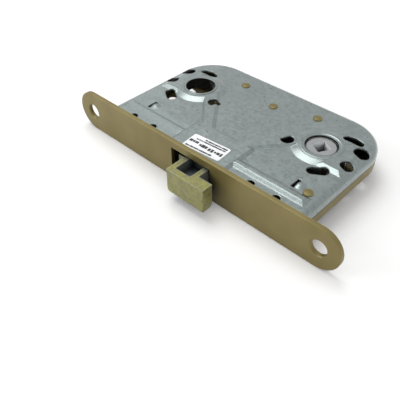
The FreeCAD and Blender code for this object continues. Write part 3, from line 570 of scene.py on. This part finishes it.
def dome_tree():
    """A low round dome on each point, the same above and below it."""
    tree, entry, leave = new_tree("Rivet domes", [
        ("Radius", "NodeSocketFloat", 2.5 * MM),
        ("Rise", "NodeSocketFloat", 0.6 * MM),
        ("Material", "NodeSocketMaterial", None),
    ])
    ball = tree.nodes.new("GeometryNodeMeshUVSphere")
    ball.inputs["Segments"].default_value = 32
    ball.inputs["Rings"].default_value = 16
    tree.links.new(entry.outputs["Radius"], ball.inputs["Radius"])
    flat = tree.nodes.new("ShaderNodeMath")
    flat.operation = "DIVIDE"
    tree.links.new(entry.outputs["Rise"], flat.inputs[0])
    tree.links.new(entry.outputs["Radius"], flat.inputs[1])
    scale = tree.nodes.new("ShaderNodeCombineXYZ")
    scale.inputs["X"].default_value = 1
    scale.inputs["Y"].default_value = 1
    tree.links.new(flat.outputs[0], scale.inputs["Z"])
    squash = tree.nodes.new("GeometryNodeTransform")
    tree.links.new(ball.outputs["Mesh"], squash.inputs["Geometry"])
    tree.links.new(scale.outputs["Vector"], squash.inputs["Scale"])
    place = tree.nodes.new("GeometryNodeInstanceOnPoints")
    tree.links.new(entry.outputs["Geometry"], place.inputs["Points"])
    tree.links.new(squash.outputs["Geometry"], place.inputs["Instance"])
    finish_tree(tree, entry, leave, place.outputs["Instances"])
    return tree


def bar_tree():
    """Rows of plain bars of uneven length, like print that is too small to read."""
    tree, entry, leave = new_tree("Print bars", [
        ("Bar length", "NodeSocketFloat", 1.2 * MM),
        ("Bar height", "NodeSocketFloat", 0.5 * MM),
        ("Seed", "NodeSocketInt", 4),
        ("Turn", "NodeSocketFloat", 0.0),
        ("Material", "NodeSocketMaterial", None),
    ])
    bar = tree.nodes.new("GeometryNodeMeshGrid")
    bar.inputs["Vertices X"].default_value = 2
    bar.inputs["Vertices Y"].default_value = 2
    tree.links.new(entry.outputs["Bar length"], bar.inputs["Size X"])
    tree.links.new(entry.outputs["Bar height"], bar.inputs["Size Y"])
    uneven = tree.nodes.new("FunctionNodeRandomValue")
    uneven.data_type = "FLOAT_VECTOR"
    uneven.inputs["Min"].default_value = (0.5, 0.55, 1)
    uneven.inputs["Max"].default_value = (1.0, 1.0, 1)
    tree.links.new(entry.outputs["Seed"], uneven.inputs["Seed"])
    place = tree.nodes.new("GeometryNodeInstanceOnPoints")
    tree.links.new(entry.outputs["Geometry"], place.inputs["Points"])
    tree.links.new(bar.outputs["Mesh"], place.inputs["Instance"])
    tree.links.new(uneven.outputs["Value"], place.inputs["Scale"])
    askew = tree.nodes.new("ShaderNodeCombineXYZ")
    tree.links.new(entry.outputs["Turn"], askew.inputs["Z"])
    tree.links.new(askew.outputs["Vector"], place.inputs["Rotation"])
    finish_tree(tree, entry, leave, place.outputs["Instances"])
    return tree


# Operators

class LOCK_OT_shell_finishes(bpy.types.Operator):
    """Coat the faceplate and tray, and give the cover its bare zinc sheet"""
    bl_idname = "lock_case.shell_finishes"
    bl_label = "Finish the shells"

    def execute(self, context):
        settings = context.scene.lock_finishes
        coat_nodes(bronze_coat("bronze_coat_tray", settings), "case_tray")
        coat_nodes(bronze_coat("bronze_coat_faceplate", settings, 1.05), "faceplate")
        coat_nodes(galvanised("galvanised_cover", settings), "case_cover")
        return {"FINISHED"}


class LOCK_OT_bolt_finish(bpy.types.Operator):
    """Give the hook bolt its passivated casting finish"""
    bl_idname = "lock_case.bolt_finish"
    bl_label = "Finish the bolt"

    def execute(self, context):
        coat_nodes(passivated_casting("bolt_casting", context.scene.lock_finishes), "hook_bolt")
        return {"FINISHED"}


class LOCK_OT_works_finish(bpy.types.Operator):
    """Finish the cranks, link, pins, posts, spring and washers"""
    bl_idname = "lock_case.works_finish"
    bl_label = "Finish the inner works"

    def execute(self, context):
        settings = context.scene.lock_finishes
        coat_nodes(plated_steel("plated_flat_steel", settings),
                   "front_crank", "rear_crank", "follower_crank", "drive_link")
        coat_nodes(plated_steel("turned_steel", settings, 0.95, 0.22),
                   "front_bolt_pin", "rear_bolt_pin", "rear_link_pin", "hub_link_pin", "crank_posts",
                   "spring_posts")
        coat_nodes(plated_steel("spring_steel", settings, 0.55, 0.28), "detent_spring", "crank_clips")
        coat_nodes(moulded_plastic("washer_plastic", settings.washer), "thrust_washers", "crank_washers")
        return {"FINISHED"}


class LOCK_OT_follower_finish(bpy.types.Operator):
    """Give the follower its moulded plastic"""
    bl_idname = "lock_case.follower_finish"
    bl_label = "Finish the follower"

    def execute(self, context):
        colour = context.scene.lock_finishes.plastic
        coat_nodes(moulded_plastic("follower_plastic", colour, follower_accents), "follower_hub")
        return {"FINISHED"}


class LOCK_OT_rivet_heads(bpy.types.Operator):
    """Dome the rivet heads above and below the case"""
    bl_idname = "lock_case.rivet_heads"
    bl_label = "Form the rivet heads"

    def execute(self, context):
        sizes = context.scene.lock_fittings
        finish = bronze_coat("bronze_coat_rivets", context.scene.lock_finishes, 0.95)
        coat_nodes(finish, "case_rivets")
        spots = [(x, y, level) for x, y in RIVET_SPOTS for level in (COVER_LEVEL, TRAY_LEVEL)]
        heads = grow("rivet_heads", spots, dome_tree(),
                     {"Radius": sizes.rivet_radius, "Rise": sizes.rivet_rise, "Material": finish})
        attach(heads, "case")
        tails = grow("post_tails", CRANK_SPOTS + SPRING_SPOTS, dome_tree(),
                     {"Radius": sizes.tail_radius, "Rise": sizes.tail_rise,
                      "Material": plated_steel("post_tail_steel", context.scene.lock_finishes)})
        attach(tails, "case")
        return {"FINISHED"}


class LOCK_OT_bore_lip(bpy.types.Operator):
    """Roll a shallow lip round the follower's bore in the cover"""
    bl_idname = "lock_case.bore_lip"
    bl_label = "Roll the bore's lip"

    def execute(self, context):
        rows = len(LIP_PROFILE)
        points = []
        faces = []
        for step in range(LIP_STEPS):
            angle = 2 * math.pi * step / LIP_STEPS
            for radius, level in LIP_PROFILE:
                x = FOLLOWER_CENTRE[0] + radius * math.cos(angle)
                y = FOLLOWER_CENTRE[1] + radius * math.sin(angle)
                points.append(Vector((x, y, level)) * MM)
        for step in range(LIP_STEPS):
            here = step * rows
            there = (step + 1) % LIP_STEPS * rows
            for row in range(rows):
                above = (row + 1) % rows
                faces.append((here + row, there + row, there + above, here + above))
        mesh = bpy.data.meshes.new("follower_bore_lip")
        mesh.from_pydata(points, [], faces)
        finish = galvanised("galvanised_lip", context.scene.lock_finishes, 0.15 * MM)
        mesh.materials.append(finish)
        lip = bpy.data.objects.new("follower_bore_lip", mesh)
        bpy.context.collection.objects.link(lip)
        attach(lip, "case")
        return {"FINISHED"}


class LOCK_OT_label(bpy.types.Operator):
    """Print plain bars on the white label"""
    bl_idname = "lock_case.label"
    bl_label = "Print the label"

    def execute(self, context):
        settings = context.scene.lock_finishes
        sizes = context.scene.lock_fittings
        coat_nodes(film("label_film", settings.label, 0.45), "rating_label")
        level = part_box("rating_label")[1][2] / MM + PRINT_LIFT
        turn = Matrix.Rotation(sizes.label_turn, 2)
        centre = Vector(sizes.label_centre) / MM
        ink = film("label_ink", settings.ink, 0.6)
        tree = bar_tree()
        prints = [("label_fine_print", FINE_ROWS, sizes.fine_print, 4),
                  ("label_bold_print", BOLD_ROWS, sizes.bold_print, 9)]
        for name, rows, height, seed in prints:
            pitch = PRINT_PITCH * height / MM
            spots = []
            for start, end, lift in rows:
                for step in range(int((end - start) / pitch) + 1):
                    spot = centre + turn @ Vector((start + step * pitch, lift))
                    spots.append((spot.x, spot.y, level))
            bars = grow(name, spots, tree,
                        {"Bar length": BAR_LENGTH * height, "Bar height": height, "Seed": seed,
                         "Turn": sizes.label_turn, "Material": ink})
            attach(bars, "case")
        return {"FINISHED"}


class LOCK_OT_studio(bpy.types.Operator):
    """Set up the floor, the soft lights and the camera"""
    bl_idname = "lock_case.studio"
    bl_label = "Build the studio"

    def execute(self, context):
        studio = context.scene.lock_studio
        self.build_floor(studio)
        self.build_lights(context, studio)
        camera = bpy.data.cameras.new("studio_camera")
        camera.sensor_width = 36
        camera.lens = studio.lens
        camera.clip_start = 0.005
        holder = bpy.data.objects.new("studio_camera", camera)
        bpy.context.collection.objects.link(holder)
        turn = (Matrix.Rotation(studio.azimuth, 4, "Z")
                @ Matrix.Rotation(math.pi / 2 - studio.elevation, 4, "X")
                @ Matrix.Rotation(studio.roll, 4, "Z"))
        holder.matrix_world = Matrix.Translation(studio.place) @ turn
        context.scene.camera = holder
        context.scene.view_settings.view_transform = "Standard"
        return {"FINISHED"}

    def build_floor(self, studio):
        level = SOLID_BOX[0][2] - FLOOR_GAP
        half = FLOOR_HALF
        corners = [(-half, -half, level), (half, -half, level), (half, half, level), (-half, half, level)]
        mesh = bpy.data.meshes.new("studio_floor")
        mesh.from_pydata(corners, [], [(0, 1, 2, 3)])
        floor = bpy.data.objects.new("studio_floor", mesh)
        bpy.context.collection.objects.link(floor)
        material, tree, surface = new_material("studio_paper")
        feed(tree, surface.inputs["Base Color"], (*studio.floor_colour, 1))
        surface.inputs["Roughness"].default_value = 0.95
        surface.inputs["Specular IOR Level"].default_value = 0.1
        mesh.materials.append(material)

    def build_lights(self, context, studio):
        world = bpy.data.worlds.new("studio_world")
        world.use_nodes = True
        backdrop = world.node_tree.nodes["Background"]
        backdrop.inputs["Color"].default_value = (1, 1, 1, 1)
        backdrop.inputs["Strength"].default_value = studio.ambient
        context.scene.world = world
        for name, spot, size, power in LAMPS:
            lamp = bpy.data.lights.new(name, "AREA")
            lamp.shape = "SQUARE"
            lamp.size = size
            lamp.energy = power
            holder = bpy.data.objects.new(name, lamp)
            bpy.context.collection.objects.link(holder)
            holder.location = spot
            aim = Vector(LAMP_AIM) - Vector(spot)
            holder.rotation_euler = aim.to_track_quat("-Z", "Y").to_euler()


class LOCK_PT_sidebar(bpy.types.Panel):
    """Steps that dress the lock case"""
    bl_idname = "LOCK_PT_sidebar"
    bl_label = "Lock Case"
    bl_space_type = "VIEW_3D"
    bl_region_type = "UI"
    bl_category = "Lock Case"

    def draw(self, context):
        layout = self.layout
        for step in STEPS:
            layout.operator(step.bl_idname)
        for group in ("lock_finishes", "lock_fittings", "lock_studio"):
            settings = getattr(context.scene, group)
            column = layout.column(heading=group)
            for key in settings.__annotations__:
                column.prop(settings, key)


GROUPS = {"lock_finishes": LockFinishes, "lock_fittings": LockFittings, "lock_studio": LockStudio}
STEPS = [LOCK_OT_shell_finishes, LOCK_OT_bolt_finish, LOCK_OT_works_finish, LOCK_OT_follower_finish,
         LOCK_OT_rivet_heads, LOCK_OT_bore_lip, LOCK_OT_label, LOCK_OT_studio]


def register():
    for group in GROUPS.values():
        bpy.utils.register_class(group)
    for step in STEPS:
        bpy.utils.register_class(step)
    bpy.utils.register_class(LOCK_PT_sidebar)
    for name, group in GROUPS.items():
        setattr(bpy.types.Scene, name, bpy.props.PointerProperty(type=group))


def unregister():
    for name in GROUPS:
        delattr(bpy.types.Scene, name)
    bpy.utils.unregister_class(LOCK_PT_sidebar)
    for step in reversed(STEPS):
        bpy.utils.unregister_class(step)
    for group in GROUPS.values():
        bpy.utils.unregister_class(group)


def main():
    register()
    bpy.ops.lock_case.shell_finishes()
    bpy.ops.lock_case.bolt_finish()
    bpy.ops.lock_case.works_finish()
    bpy.ops.lock_case.follower_finish()
    bpy.ops.lock_case.rivet_heads()
    bpy.ops.lock_case.bore_lip()
    bpy.ops.lock_case.label()
    bpy.ops.lock_case.studio()


if __name__ == "__main__":
    main()
